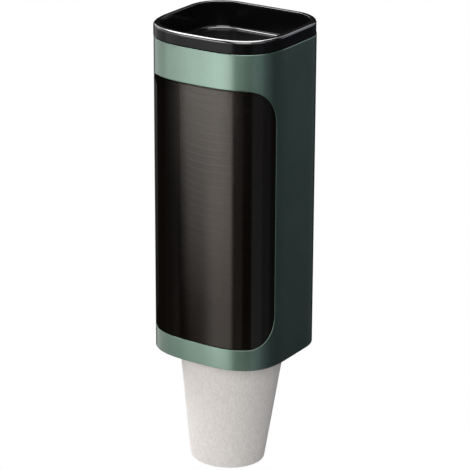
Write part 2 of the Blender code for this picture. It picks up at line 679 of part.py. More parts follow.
def build_screws(origin, materials):
    """Four cross-head screws, up through the base into the shell's bosses."""
    head_top = BASE_SETBACK + SCREW_RECESS_DEPTH - SEAT_GAP
    head_bottom = head_top - SCREW_HEAD_HEIGHT
    tip = head_top + SCREW_LENGTH
    profile = [
        (0, head_bottom),
        (SCREW_HEAD_RADIUS, head_bottom),
        (SCREW_HEAD_RADIUS, head_top),
        (SCREW_SHANK_RADIUS, head_top),
        (SCREW_SHANK_RADIUS, tip - SCREW_SHANK_RADIUS),
        (0, tip),
    ]
    drive_reach = SCREW_HEAD_RADIUS * DRIVE_REACH_SHARE
    drive_half = DRIVE_WIDTH / 2
    for number, angle in enumerate(SCREW_ANGLES, start=1):
        at = on_circle(SCREW_CIRCLE_RADIUS, angle)
        mesh = turned_mesh("base_screw", profile, SCREW_SIDES)
        screw = place(mesh, f"base_screw_{number}", origin, materials["steel"], at, smooth=True)
        for direction, x, y in (("x", drive_reach, drive_half), ("y", drive_half, drive_reach)):
            low = (-x, -y, head_bottom - CUT_OVERRUN)
            high = (x, y, head_bottom + DRIVE_DEPTH)
            drive = place(box_mesh("drive", low, high), f"drive_{number}_{direction}", origin, at=at)
            combine(screw, "DIFFERENCE", drive)


def build_wall_plate(origin, materials):
    """Plate on the wall with two upturned hooks, and the adhesive pad behind it."""
    plate_middle = (PLATE_FRONT_Y + PLATE_REAR_Y) / 2
    blank = rounded_plate("wall_plate", PLATE_WIDTH, PLATE_HEIGHT, PLATE_CORNER, PLATE_THICKNESS)
    plate = place(blank, "wall_plate", origin, materials["black"], at=(0, plate_middle, MOUNT_HEIGHT))
    neck_bottom = MOUNT_HEIGHT + HOOK_ABOVE_MOUNT
    neck_top = neck_bottom + HOOK_NECK_HEIGHT
    inside = SHELL_BACK_DEPTH - SHELL_WALL - SEAT_GAP
    outline = [
        (plate_middle, neck_bottom),
        (plate_middle, neck_top),
        (inside, neck_top),
        (inside, neck_top + HOOK_RISE),
        (inside - HOOK_THICKNESS, neck_top + HOOK_RISE),
        (inside - HOOK_THICKNESS, neck_bottom),
    ]
    for number, x in enumerate((-HOOK_SPACING / 2, HOOK_SPACING / 2), start=1):
        mesh = extruded_mesh("hook", outline, HOOK_WIDTH / 2)
        mesh.transform(Matrix.Rotation(math.pi / 2, 4, "Z"))
        combine(plate, "UNION", place(mesh, f"hook_{number}", origin, at=(x, 0, 0)))
    pad_middle = (PAD_FRONT_Y + WALL_Y) / 2
    pad_width = PLATE_WIDTH - 2 * PAD_MARGIN
    pad_height = PLATE_HEIGHT - 2 * PAD_MARGIN
    pad = rounded_plate("adhesive_pad", pad_width, pad_height, PLATE_CORNER - PAD_MARGIN, PAD_THICKNESS)
    place(pad, "adhesive_pad", origin, materials["foam"], at=(0, pad_middle, MOUNT_HEIGHT))


def rounded_plate(name, width, height, corner, thickness):
    """Upright plate with rounded corners, centred on its middle."""
    outline = []
    for quarter, (side_x, side_z) in enumerate(((1, 1), (-1, 1), (-1, -1), (1, -1))):
        centre = (side_x * (width / 2 - corner), side_z * (height / 2 - corner))
        start = quarter * math.pi / 2
        outline += arc(centre, corner, start, start + math.pi / 2, CORNER_STEPS)
    return extruded_mesh(name, outline, thickness / 2)


def cup_foot_profile():
    """Half section of a cup's foot, from the middle of the floor's underside out to the foot's edge."""
    fold_radius = CUP_FOOT_RADIUS - CUP_FOOT_FOLD
    return [(0, CUP_FLOOR_RECESS), (fold_radius, CUP_FLOOR_RECESS), (fold_radius, 0), (CUP_FOOT_RADIUS, 0)]


def cup_inside_profile(rise):
    """Half section of a raised cup's inside, from the rim down to the middle of the floor's upper side."""
    wall = CUP_WALL / math.cos(CUP_HALF_ANGLE)
    floor_top = CUP_FLOOR_RECESS + CUP_FLOOR
    floor_radius = CUP_FOOT_RADIUS + floor_top * CUP_SLOPE - wall
    profile = [(CUP_TOP_RADIUS - wall, CUP_HEIGHT), (floor_radius, floor_top), (0, floor_top)]
    return [(radius, height + rise) for radius, height in profile]


def cup_profile():
    """Half section of one paper cup, with its rolled rim as a chamfered band."""
    under_rim = CUP_HEIGHT - CUP_RIM_HEIGHT
    rim = [
        (CUP_FOOT_RADIUS + under_rim * CUP_SLOPE, under_rim),
        (CUP_RIM_RADIUS, under_rim + CUP_RIM_CHAMFER),
        (CUP_RIM_RADIUS, CUP_HEIGHT - CUP_RIM_CHAMFER),
        (CUP_RIM_RADIUS - CUP_RIM_CHAMFER, CUP_HEIGHT),
    ]
    return cup_foot_profile() + rim + cup_inside_profile(0)


def stack_profile(count):
    """Half section of nested cups as one body: the lowest foot, every rim and the topmost inside."""
    groove_radius = CUP_TOP_RADIUS - CUP_RIM_HEIGHT * CUP_SLOPE
    ribs = []
    for step in range(count):
        middle = CUP_HEIGHT - CUP_RIM_HEIGHT / 2 + step * NEST_PITCH
        ribs += [(groove_radius, middle - NEST_PITCH / 2), (CUP_RIM_RADIUS, middle)]
    return cup_foot_profile() + ribs + cup_inside_profile(NEST_PITCH * (count - 1))


def build_cups(origin, materials):
    """The cup that hangs out, the one that the pawls hold, and the nest above them."""
    foot = COLUMN + Vector((0, 0, -CUP_DROP))
    pitch = Vector((0, 0, NEST_PITCH))
    paper = materials["paper"]
    hanging = turned_mesh("hanging_cup", cup_profile(), CUP_SIDES)
    place(hanging, "hanging_cup", origin, paper, foot, smooth=True)
    held = turned_mesh("held_cup", cup_profile(), CUP_SIDES)
    place(held, "held_cup", origin, paper, foot + pitch, smooth=True)
    stack = turned_mesh("cup_stack", stack_profile(NEST_COUNT - 2), CUP_SIDES)
    place(stack, "cup_stack", origin, paper, foot + 2 * pitch, smooth=True)


def main():
    for leftover in list(bpy.data.objects):
        bpy.data.objects.remove(leftover, do_unlink=True)
    origin = bpy.data.objects.new("dispenser_origin", None)
    bpy.context.scene.collection.objects.link(origin)
    origin.location = (0, -WALL_Y, -MOUNT_HEIGHT)
    materials = make_materials()
    build_shell(origin, materials)
    build_window(origin, materials)
    build_lid(origin, materials)
    build_base(origin, materials)
    build_guide(origin, materials)
    build_pawls(origin, materials)
    build_screws(origin, materials)
    build_wall_plate(origin, materials)
    build_cups(origin, materials)


main()
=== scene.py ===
"""Wall-hung paper cup dispenser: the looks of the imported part.

Metres, front towards -Y, +Z up, with the origin on the wall behind the adhesive pad. The shell, the window
and the lid are modelled flat, as if their skin were unrolled, and then wrapped round the shell's section.
"""

import json
import math

import bmesh
import bpy
from mathutils import Matrix, Vector

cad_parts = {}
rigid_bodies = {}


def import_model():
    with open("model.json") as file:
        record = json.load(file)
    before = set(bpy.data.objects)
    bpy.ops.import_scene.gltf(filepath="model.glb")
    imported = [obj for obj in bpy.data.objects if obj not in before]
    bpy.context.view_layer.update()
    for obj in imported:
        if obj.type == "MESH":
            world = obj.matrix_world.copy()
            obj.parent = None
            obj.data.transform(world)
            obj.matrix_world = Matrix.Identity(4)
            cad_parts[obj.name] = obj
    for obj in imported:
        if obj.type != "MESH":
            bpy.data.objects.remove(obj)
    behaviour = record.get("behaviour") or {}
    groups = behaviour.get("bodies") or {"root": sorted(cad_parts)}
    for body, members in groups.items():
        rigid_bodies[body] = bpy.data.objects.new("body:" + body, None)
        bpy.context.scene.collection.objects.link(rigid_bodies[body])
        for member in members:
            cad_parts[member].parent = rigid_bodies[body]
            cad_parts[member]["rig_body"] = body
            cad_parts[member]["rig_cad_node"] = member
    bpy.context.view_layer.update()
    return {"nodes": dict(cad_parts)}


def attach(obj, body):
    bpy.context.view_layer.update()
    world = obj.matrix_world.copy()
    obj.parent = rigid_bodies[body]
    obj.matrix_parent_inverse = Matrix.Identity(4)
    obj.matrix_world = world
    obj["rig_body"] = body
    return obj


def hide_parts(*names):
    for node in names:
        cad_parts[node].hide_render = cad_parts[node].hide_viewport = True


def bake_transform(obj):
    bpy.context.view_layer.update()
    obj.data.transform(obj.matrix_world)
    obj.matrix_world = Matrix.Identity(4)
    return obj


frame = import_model()

# Modelling: what counts as one place on the flat skin, the gap that the wrap may leave where it closes, and
# the angles past which an edge shades sharp or is rounded
SAME_PLACE = 0.000001
WRAP_GAP = 0.00001
SHARP_ANGLE = math.radians(40)
MOULDED_ANGLE = 0.8

# CAD nodes: corners closer than this are one, and faces flatter than this are one
CAD_SAME_PLACE = 0.000002
CAD_FLAT_ANGLE = math.radians(0.5)

# Shell: its section bulges in front and is flat behind; heights are above the shell's bottom edge
SECTION_Y = -0.0538
SHELL_BOTTOM = -0.150
HALF_WIDTH = 0.049
FRONT_DEPTH = 0.0433
BACK_DEPTH = 0.0492
BACK_CORNER = 0.026
FRONT_FULLNESS = 3.0
FRONT_STEPS = 240
CORNER_STEPS = 60
SHELL_HEIGHT = 0.225
SHELL_WALL = 0.0024
SHELL_EDGE = 0.0004
EDGE_STEPS = 3
SKIN_COLUMNS = 216

# Window: half its span along the skin, its heights and its corners
WINDOW_HALF_SPAN = 0.0598
WINDOW_LOW = 0.0157
WINDOW_HIGH = 0.2
WINDOW_TOP_CORNER = 0.025
WINDOW_BOTTOM_CORNER = 0.0215
WINDOW_CORNER_STEPS = 14
WINDOW_THICKNESS = 0.002
WINDOW_GAP = 0.00035
WINDOW_EDGE = 0.0004

# Border behind the window: how far it reaches past the opening, its width and its depth below the skin
FLANGE_REACH = 0.003
FLANGE_BORDER = 0.002
FLANGE_FRONT = 0.0027
FLANGE_BACK = 0.0041

# Slots in the shell's back, for the wall plate's hooks
SLOT_OFFSET = 0.015
SLOT_WIDTH = 0.0088
SLOT_LOW = 0.1532
SLOT_HIGH = 0.1643
CUT_REACH = 0.01

# Screw bosses inside the shell: degrees round the cup column, from +X
BOSS_PLACES = (-158, -22, 22, 158)
BOSS_CIRCLE = 0.0451
BOSS_RADIUS = 0.003
BOSS_SIDES = 40
BOSS_HOLE = 0.0014
BOSS_HOLE_SIDES = 24
BOSS_ROOF = 0.001
BOSS_LOW = 0.0057
BOSS_HIGH = 0.0172
BOSS_EDGE = 0.0003
RIB_HALF = 0.0015

# Lid: heights above the shell's bottom edge, depths below the shell's skin
BAND_LOW = 0.2257
BAND_HIGH = 0.2342
BAND_DEPTH = 0.0001
PLUG_DEPTH = 0.0028
PLUG_LOW = 0.2131
TRAY_DEPTH = 0.0043
TRAY_FLOOR = 0.2151
LIP_OUTER_ROUNDING = 0.0018
LIP_INNER_ROUNDING = 0.0003
LIP_STEPS = 7
FLOOR_ROUNDING = 0.002
FLOOR_STEPS = 6
FLOOR_RIM = 0.006
LID_PLAY = 0.0003

# Paper cup: radii, and heights above its own foot
COLUMN_Y = -0.05085
CUP_HEIGHT = 0.091
CUP_FOOT = 0.02644
CUP_SLOPE = 0.12573
CUP_PAPER = 0.00035
CUP_FLOOR = 0.00504
CUP_WALL_LEVELS = (0.012, 0.03, 0.05, 0.07)
CUP_INNER_RIM = 0.0885
CUP_SIDES = 96
FOOT_FOLD = 0.0009
FOOT_ROUNDING = 0.0003
FOOT_STEPS = 3
CURL_RADIUS = 0.00105
CURL_SET_BACK = 0.0003
CURL_START = -75
CURL_TURN = 22
CURL_STEPS = 9

# Nest: rim to rim, the degrees that each cup is turned from the last, and how the lowest cups hang askew
CUP_PITCH = 0.005337
CUP_COUNT = 38
CUP_TURN = 137.5
HANGING_FOOT = -0.23605
LEANS = (2.0, 1.5, 1.1, 0.75, 0.45, 0.2)
NEST_SWAY = 0.0019
SWAY_CUPS = 9

# Pawl springs: degrees round the cup column, from +X
SPRING_PLACES = (-135, -45, 45, 135)
SPRING_CIRCLE = 0.0446
SPRING_HEIGHT = -0.1365
SPRING_WIRE = 0.00025
SPRING_COIL = 0.00175
SPRING_COILS = 2.5
SPRING_STEP = 0.00065
SPRING_LEG = 0.0042
SPRING_POINTS = 50

# Camera, from the fit to the photograph
CAMERA_AZIMUTH = 33.0
CAMERA_ELEVATION = 20.29
CAMERA_ROLL = 0.229
CAMERA_DISTANCE = 1.6574
CAMERA_SIDESTEP = 0.003125
CAMERA_AIM = -0.068775
CAMERA_LENS = 182.85

FLOOR_HEIGHT = -1.2

# Softboxes, in degrees: azimuth from the front towards +X, elevation from the level
NEUTRAL_BOXES = (
    # left, right, bottom, top, softness of each of these edges, strength
    (-34, 2, -21, -8, 18, 10, 4, 8, 2.8),
    (-30, 2, -30, -21, 16, 10, 8, 4, 1.5),
    (2, 26, -26, -8, 10, 8, 8, 8, 0.22),
    (-62, -34, -18, -8, 8, 18, 4, 8, 2.0),
    (-62, -44, -30, -18, 8, 8, 8, 4, 0.4),
    (-115, -62, -26, -8, 8, 8, 8, 8, 0.85),
    (10, 60, -95, -26, 8, 8, 1, 8, 0.6),
    (-90, -40, -8, 20, 8, 8, 8, 8, 0.5),
    (-40, -10, -8, 20, 8, 8, 8, 8, 2.4),
    (10, 45, -8, 20, 8, 8, 8, 8, 1.6),
    (45, 90, -8, 20, 8, 8, 8, 8, 0.6),
    (0, 50, 20, 42, 8, 8, 8, 8, 3.0),
    (60, 120, 20, 42, 8, 8, 8, 8, 0.6),
    (150, 181, 22, 42, 8, 1, 8, 8, 1.3),
    (-126, -85, 8, 42, 8, 8, 8, 8, 2.0),
    (-181, -55, 42, 64, 1, 8, 8, 8, 8.5),
    (-181, 181, 64, 95, 1, 1, 8, 1, 5.5),
)
COOL_BOXES = (
    (52, 85, -30, -8, 8, 8, 8, 8, 0.38),
    (85, 110, -26, -8, 8, 8, 8, 8, 0.2),
    (110, 181, -26, -8, 8, 1, 8, 8, 0.08),
    (135, 181, -8, 20, 8, 1, 8, 8, 0.7),
)


def colour(hexadecimal):
    """Linear colour from an sRGB hex value."""
    channels = [int(hexadecimal[i : i + 2], 16) / 255 for i in (1, 3, 5)]
    return (*[c / 12.92 if c <= 0.04045 else ((c + 0.055) / 1.055) ** 2.4 for c in channels], 1.0)


def add_node(tree, kind, settings=None, inputs=None):
    """Node with its settings; an input is a value or the socket that feeds it."""
    node = tree.nodes.new(kind)
    for name, value in (settings or {}).items():
        setattr(node, name, value)
    for name, value in (inputs or {}).items():
        if isinstance(value, bpy.types.NodeSocket):
            tree.links.new(value, node.inputs[name])
        else:
            node.inputs[name].default_value = value
    return node


def new_material(name):
    """Material with an empty tree: the tree, and the place on the piece in metres."""
    material = bpy.data.materials.new(name)
    material.use_nodes = True
    tree = material.node_tree
    tree.nodes.clear()
    place = add_node(tree, "ShaderNodeTexCoord").outputs["Object"]
    return material, tree, place


def sprayed_metallic_lacquer():
    """Sage green lacquer with fine aluminium flake, sprayed on a moulded shell: a satin sheen that follows
    the light, a little mottling where the flake lies unevenly, and a faint orange peel of about 2.4 mm."""
    material, tree, place = new_material("sprayed_sage_metallic_lacquer")
    # Real flake is too fine to show, so it is drawn 0.7 mm wide; it lies unevenly over about 36 mm
    flake = add_node(tree, "ShaderNodeTexNoise", inputs={"Vector": place, "Scale": 1500.0, "Detail": 2.0})
    cloud = add_node(tree, "ShaderNodeTexNoise", inputs={"Vector": place, "Scale": 28.0, "Detail": 3.0})
    grain = add_node(tree, "ShaderNodeMath", {"operation": "MULTIPLY_ADD"},
                     {0: flake.outputs["Fac"], 1: 0.7, 2: cloud.outputs["Fac"]})
    shade = add_node(tree, "ShaderNodeValToRGB", inputs={"Fac": grain.outputs["Value"]})
    shade.color_ramp.elements[0].position = 0.55
    shade.color_ramp.elements[0].color = colour("#678070")
    shade.color_ramp.elements[1].position = 1.0
    shade.color_ramp.elements[1].color = colour("#738d7f")
    rough = add_node(tree, "ShaderNodeMapRange",
                     inputs={"Value": flake.outputs["Fac"], "To Min": 0.32, "To Max": 0.38})
    peel = add_node(tree, "ShaderNodeTexNoise", inputs={"Vector": place, "Scale": 420.0, "Detail": 1.0})
    bump = add_node(tree, "ShaderNodeBump",
                    inputs={"Height": peel.outputs["Fac"], "Strength": 0.06, "Distance": 0.0002})
    lacquer = add_node(tree, "ShaderNodeBsdfPrincipled", inputs={
        "Base Color": shade.outputs["Color"],
        "Roughness": rough.outputs["Result"],
        "Normal": bump.outputs["Normal"],
        "Metallic": 1.0,
        "Coat Weight": 1.0,
        "Coat IOR": 1.55,
        "Coat Roughness": 0.2,
    })
    add_node(tree, "ShaderNodeOutputMaterial", inputs={"Surface": lacquer.outputs["BSDF"]})
    return material


def smoked_acrylic():
    """Smoked acrylic panel, cast and polished: brown smoke, with a gloss that waves slowly, over about 45 mm.
    The smoke is deepened towards its foot and in its bends as painted shade, and the gloss is graded by
    height, cut at grazing angles and dimmed down the left flank as a painted dimming of the reflections, so
    that the dark edge there stays dark."""
    smoke_and_painted_shade_at_foot, smoke_at_head, smoke_and_painted_shade_in_bends = 0.88, 0.44, 0.95
    gloss_and_painted_reflection_at_foot, gloss_at_head, painted_dim_share_on_left_flank = 0.42, 0.25, 0.12
    material, tree, place = new_material("smoked_cast_acrylic")
    wave = add_node(tree, "ShaderNodeTexNoise", inputs={"Vector": place, "Scale": 22.0, "Detail": 1.0})
    bump = add_node(tree, "ShaderNodeBump",
                    inputs={"Height": wave.outputs["Fac"], "Strength": 0.05, "Distance": 0.0004})
    rough = add_node(tree, "ShaderNodeMapRange",
                     inputs={"Value": wave.outputs["Fac"], "To Min": 0.05, "To Max": 0.09})
    parts = add_node(tree, "ShaderNodeSeparateXYZ", inputs={"Vector": place})
    foot, head = SHELL_BOTTOM + WINDOW_LOW, SHELL_BOTTOM + WINDOW_HIGH

    # Smoke: how much of what lies behind it hides; made deeper towards the foot and in the bends, as painted
    # shade on what lies behind
    depth = add_node(tree, "ShaderNodeMapRange",
                     inputs={"Value": parts.outputs["Z"], "From Min": foot, "From Max": head,
                             "To Min": smoke_and_painted_shade_at_foot, "To Max": smoke_at_head})
    aside = add_node(tree, "ShaderNodeMath", {"operation": "ABSOLUTE"}, {0: parts.outputs["X"]})
    bend = add_node(tree, "ShaderNodeMapRange", {"interpolation_type": "SMOOTHSTEP"},
                    {"Value": aside.outputs["Value"], "From Min": 0.018, "From Max": 0.038,
                     "To Min": 0.0, "To Max": 0.7})
    smoke = add_node(tree, "ShaderNodeMapRange",
                     inputs={"Value": bend.outputs["Result"], "From Min": 0.0, "From Max": 1.0,
                             "To Min": depth.outputs["Result"], "To Max": smoke_and_painted_shade_in_bends})

    # Gloss: less towards the head, at grazing angles and on the left flank, a painted dimming of the
    # reflections;
    # dividing by the smoke keeps it where the smoke is thin
    gloss = add_node(tree, "ShaderNodeMapRange",
                     inputs={"Value": parts.outputs["Z"], "From Min": foot, "From Max": head,
                             "To Min": gloss_and_painted_reflection_at_foot, "To Max": gloss_at_head})
    facing = add_node(tree, "ShaderNodeLayerWeight", inputs={"Blend": 0.5})
    painted_dim_at_grazing = add_node(tree, "ShaderNodeMapRange", {"interpolation_type": "SMOOTHSTEP"},
                     {"Value": facing.outputs["Facing"], "From Min": 0.22, "From Max": 0.45,
                      "To Min": gloss.outputs["Result"], "To Max": 0.0})
    flank = add_node(tree, "ShaderNodeMapRange", {"interpolation_type": "SMOOTHSTEP"},
                     {"Value": parts.outputs["X"], "From Min": -0.022, "From Max": -0.006,
                      "To Min": painted_dim_share_on_left_flank, "To Max": 1.0})
    painted_dim_gloss = add_node(tree, "ShaderNodeMath", {"operation": "MULTIPLY"},
                      {0: painted_dim_at_grazing.outputs["Result"], 1: flank.outputs["Result"]})
    specular_with_painted_reflection = add_node(tree, "ShaderNodeMath", {"operation": "DIVIDE"},
                      {0: painted_dim_gloss.outputs["Value"], 1: smoke.outputs["Result"]})
    acrylic = add_node(tree, "ShaderNodeBsdfPrincipled", inputs={
        "Base Color": colour("#0d0a08"),
        "Roughness": rough.outputs["Result"],
        "Normal": bump.outputs["Normal"],
        "IOR": 1.49,
        "Alpha": smoke.outputs["Result"],
        "Specular IOR Level": specular_with_painted_reflection.outputs["Value"],
        "Specular Tint": colour("#fff2e7"),
    })
    add_node(tree, "ShaderNodeOutputMaterial", inputs={"Surface": acrylic.outputs["BSDF"]})
    return material


def gloss_black_moulding():
    """Black ABS from a polished mould: a deep gloss with the slightest waviness, about 17 mm long; the lip and
    the fillet round the tray's floor are given a stronger gloss, a painted highlight that draws the bright
    line along them."""
    plain, painted_highlight_on_lip, painted_highlight_on_fillet = 0.14, 1.9, 1.5
    material, tree, place = new_material("gloss_black_moulded_abs")
    wave = add_node(tree, "ShaderNodeTexNoise", inputs={"Vector": place, "Scale": 60.0, "Detail": 2.0})
    bump = add_node(tree, "ShaderNodeBump",
                    inputs={"Height": wave.outputs["Fac"], "Strength": 0.04, "Distance": 0.0003})
    rough = add_node(tree, "ShaderNodeMapRange",
                     inputs={"Value": wave.outputs["Fac"], "To Min": 0.1, "To Max": 0.16})
    height = add_node(tree, "ShaderNodeSeparateXYZ", inputs={"Vector": place}).outputs["Z"]
    # Painted highlight: a stronger gloss on the lip's rounding and on the floor's fillet draws their bright
    # lines
    lip = SHELL_BOTTOM + BAND_HIGH - LIP_OUTER_ROUNDING
    painted_lip_highlight = add_node(tree, "ShaderNodeMapRange", {"interpolation_type": "SMOOTHSTEP"},
                             {"Value": height, "From Min": lip - 0.0002, "From Max": lip + 0.0003,
                              "To Min": plain, "To Max": painted_highlight_on_lip})
    foot = SHELL_BOTTOM + TRAY_FLOOR
    above_floor = add_node(tree, "ShaderNodeMapRange", {"interpolation_type": "SMOOTHSTEP"},
                           {"Value": height, "From Min": foot + 0.0001, "From Max": foot + 0.0005,
                            "To Min": plain, "To Max": painted_highlight_on_fillet})
    below_wall = add_node(tree, "ShaderNodeMapRange", {"interpolation_type": "SMOOTHSTEP"},
                          {"Value": height, "From Min": foot + FLOOR_ROUNDING - 0.0002,
                           "From Max": foot + FLOOR_ROUNDING + 0.0002, "To Min": painted_highlight_on_fillet, "To Max": plain})
    painted_fillet_highlight = add_node(tree, "ShaderNodeMath", {"operation": "MINIMUM"},
                              {0: above_floor.outputs["Result"], 1: below_wall.outputs["Result"]})
    gloss_with_painted_highlights = add_node(tree, "ShaderNodeMath", {"operation": "MAXIMUM"},
                     {0: painted_lip_highlight.outputs["Result"], 1: painted_fillet_highlight.outputs["Value"]})
    abs_plastic = add_node(tree, "ShaderNodeBsdfPrincipled", inputs={
        "Base Color": colour("#0e0d0e"),
        "Specular IOR Level": gloss_with_painted_highlights.outputs["Value"],
        "Roughness": rough.outputs["Result"],
        "Normal": bump.outputs["Normal"],
        "IOR": 1.49,
    })
    add_node(tree, "ShaderNodeOutputMaterial", inputs={"Surface": abs_plastic.outputs["BSDF"]})
    return material


def spark_eroded_black():
    """Black polypropylene from a spark-eroded mould: a fine matt grain of about 0.4 mm."""
    material, tree, place = new_material("spark_eroded_black_polypropylene")
    grit = add_node(tree, "ShaderNodeTexNoise", inputs={"Vector": place, "Scale": 2400.0, "Detail": 3.0})
    bump = add_node(tree, "ShaderNodeBump",
                    inputs={"Height": grit.outputs["Fac"], "Strength": 0.35, "Distance": 0.0001})
    tone = add_node(tree, "ShaderNodeMix", {"data_type": "RGBA"},
                    {"Factor": grit.outputs["Fac"], "A": colour("#191919"), "B": colour("#232324")})
    polypropylene = add_node(tree, "ShaderNodeBsdfPrincipled", inputs={
        "Base Color": tone.outputs["Result"],
        "Normal": bump.outputs["Normal"],
        "Roughness": 0.52,
        "IOR": 1.49,
    })
    add_node(tree, "ShaderNodeOutputMaterial", inputs={"Surface": polypropylene.outputs["BSDF"]})
    return material


def recycled_paper():
    """Uncoated recycled cup paper: warm off-white pulp with clouds of about 5 mm, fibres that run up the cup
    and fine flecks 1.6 mm apart. Real fibres are too fine to show, and are drawn 1.3 mm wide, 2.3 mm long."""
    material, tree, place = new_material("recycled_cup_paper")
    upright = add_node(tree, "ShaderNodeMapping", {"vector_type": "POINT"},
                       {"Vector": place, "Scale": (1.0, 1.0, 0.55)}).outputs["Vector"]
    cloud = add_node(tree, "ShaderNodeTexNoise", inputs={"Vector": place, "Scale": 200.0, "Detail": 2.0})
    fibre = add_node(tree, "ShaderNodeTexNoise",
                     inputs={"Vector": upright, "Scale": 800.0, "Detail": 2.0, "Distortion": 0.6})
    fleck = add_node(tree, "ShaderNodeTexVoronoi", inputs={"Vector": place, "Scale": 620.0})
    pulp = add_node(tree, "ShaderNodeMix", {"data_type": "RGBA"},
                    {"Factor": cloud.outputs["Fac"], "A": colour("#e7e2de"), "B": colour("#efebe8")})
    strand = add_node(tree, "ShaderNodeMapRange",
                      inputs={"Value": fibre.outputs["Fac"], "From Min": 0.35, "From Max": 0.65,
                              "To Min": 0.0, "To Max": 1.0})
    shade = add_node(tree, "ShaderNodeMix", {"data_type": "RGBA", "blend_type": "MULTIPLY"},
                     {"Factor": strand.outputs["Result"], "A": pulp.outputs["Result"],
                      "B": colour("#f3f2f1")})
    dots = add_node(tree, "ShaderNodeMapRange",
                    inputs={"Value": fleck.outputs["Distance"], "From Min": 0.08, "From Max": 0.2,
                            "To Min": 0.35, "To Max": 0.0})
    specked = add_node(tree, "ShaderNodeMix", {"data_type": "RGBA"},
                       {"Factor": dots.outputs["Result"], "A": shade.outputs["Result"],
                        "B": colour("#b3a595")})
    bump = add_node(tree, "ShaderNodeBump",
                    inputs={"Height": fibre.outputs["Fac"], "Strength": 0.2, "Distance": 0.0002})
    paper = add_node(tree, "ShaderNodeBsdfPrincipled", inputs={
        "Base Color": specked.outputs["Result"],
        "Normal": bump.outputs["Normal"],
        "Diffuse Roughness": 0.4,
        "Specular IOR Level": 0.3,
        "Roughness": 0.82,
        "IOR": 1.45,
    })
    add_node(tree, "ShaderNodeOutputMaterial", inputs={"Surface": paper.outputs["BSDF"]})
    return material


def natural_acetal():
    """Natural acetal, moulded and slippery: milky white with a soft gloss and flow marks about 3 mm apart."""
    material, tree, place = new_material("natural_moulded_acetal")
    flow = add_node(tree, "ShaderNodeTexNoise", inputs={"Vector": place, "Scale": 300.0, "Detail": 2.0})
    tone = add_node(tree, "ShaderNodeMix", {"data_type": "RGBA"},
                    {"Factor": flow.outputs["Fac"], "A": colour("#dcdcd6"), "B": colour("#ecece8")})
    acetal = add_node(tree, "ShaderNodeBsdfPrincipled", inputs={
        "Base Color": tone.outputs["Result"],
        "Roughness": 0.35,
        "IOR": 1.48,
        "Subsurface Weight": 0.15,
        "Subsurface Scale": 0.001,
    })
    add_node(tree, "ShaderNodeOutputMaterial", inputs={"Surface": acetal.outputs["BSDF"]})
    return material


def zinc_plated_steel():
    """Bright zinc on steel: a cool metal, clouded by its passivation over about 1 mm."""
    material, tree, place = new_material("bright_zinc_plated_steel")
    cloud = add_node(tree, "ShaderNodeTexNoise", inputs={"Vector": place, "Scale": 900.0, "Detail": 3.0})
    tone = add_node(tree, "ShaderNodeMix", {"data_type": "RGBA"},
                    {"Factor": cloud.outputs["Fac"], "A": colour("#b4b7bb"), "B": colour("#d2d3d2")})
    rough = add_node(tree, "ShaderNodeMapRange",
                     inputs={"Value": cloud.outputs["Fac"], "To Min": 0.2, "To Max": 0.38})
    zinc = add_node(tree, "ShaderNodeBsdfPrincipled", inputs={
        "Base Color": tone.outputs["Result"],
        "Roughness": rough.outputs["Result"],
        "Metallic": 1.0,
    })
    add_node(tree, "ShaderNodeOutputMaterial", inputs={"Surface": zinc.outputs["BSDF"]})
    return material


def foam_tape():
    """Closed-cell foam tape, slit from a roll: mid grey and dull, with cells of about 0.3 mm in its edge."""
    material, tree, place = new_material("closed_cell_foam_tape")
    cell = add_node(tree, "ShaderNodeTexVoronoi", inputs={"Vector": place, "Scale": 3000.0})
    tone = add_node(tree, "ShaderNodeMix", {"data_type": "RGBA"},
                    {"Factor": cell.outputs["Distance"], "A": colour("#7d7f80"), "B": colour("#8f9191")})
    bump = add_node(tree, "ShaderNodeBump",
                    inputs={"Height": cell.outputs["Distance"], "Strength": 0.4, "Distance": 0.0001})
    foam = add_node(tree, "ShaderNodeBsdfPrincipled", inputs={
        "Base Color": tone.outputs["Result"],
        "Normal": bump.outputs["Normal"],
        "Roughness": 0.9,
    })
    add_node(tree, "ShaderNodeOutputMaterial", inputs={"Surface": foam.outputs["BSDF"]})
    return material


def deselect_all():
    """Nothing selected, back in object mode."""
    if bpy.context.object is not None and bpy.context.object.mode != "OBJECT":
        bpy.ops.object.mode_set(mode="OBJECT")
    bpy.ops.object.select_all(action="DESELECT")


def work_on(piece):
    """Only this piece selected and active."""
    deselect_all()
    piece.select_set(True)
    bpy.context.view_layer.objects.active = piece


def start_piece(name):
    """Name the primitive just added, its size and place put into its mesh."""
    piece = bpy.context.object
    piece.name = name
    piece.data.name = name
    bpy.ops.object.transform_apply(location=True, rotation=True, scale=True)
    return piece


def copy_of(pattern, name):
    """Copy of a piece with a mesh of its own."""
    piece = pattern.copy()
    piece.data = pattern.data.copy()
    piece.name = name
    piece.data.name = name
    bpy.context.scene.collection.objects.link(piece)
    return piece


def block(name, low, high):
    """Block between two corners."""
    deselect_all()
    low, high = Vector(low), Vector(high)
    bpy.ops.mesh.primitive_cube_add(size=1.0, location=(low + high) / 2, scale=high - low)
    return start_piece(name)


def pick(kind, test):
    """In edit mode, select the edges or the faces that pass a test."""
    bpy.ops.mesh.select_mode(type=kind)
    bpy.ops.mesh.select_all(action="DESELECT")
    shape = bmesh.from_edit_mesh(bpy.context.object.data)
    for part in shape.edges if kind == "EDGE" else shape.faces:
        part.select_set(test(part))
    shape.select_flush_mode()
    bmesh.update_edit_mesh(bpy.context.object.data)


def lies_at(part, axis, value):
    """Whether all of an edge or a face lies at one place along an axis."""
    return all(abs(getattr(vertex.co, axis) - value) < SAME_PLACE for vertex in part.verts)


def apply_modifier(piece, kind, **settings):
    """Add a modifier with its settings and apply it."""
    work_on(piece)
    modifier = piece.modifiers.new(kind.lower(), kind)
    for name, value in settings.items():
        setattr(modifier, name, value)
    bpy.ops.object.modifier_apply(modifier=modifier.name)


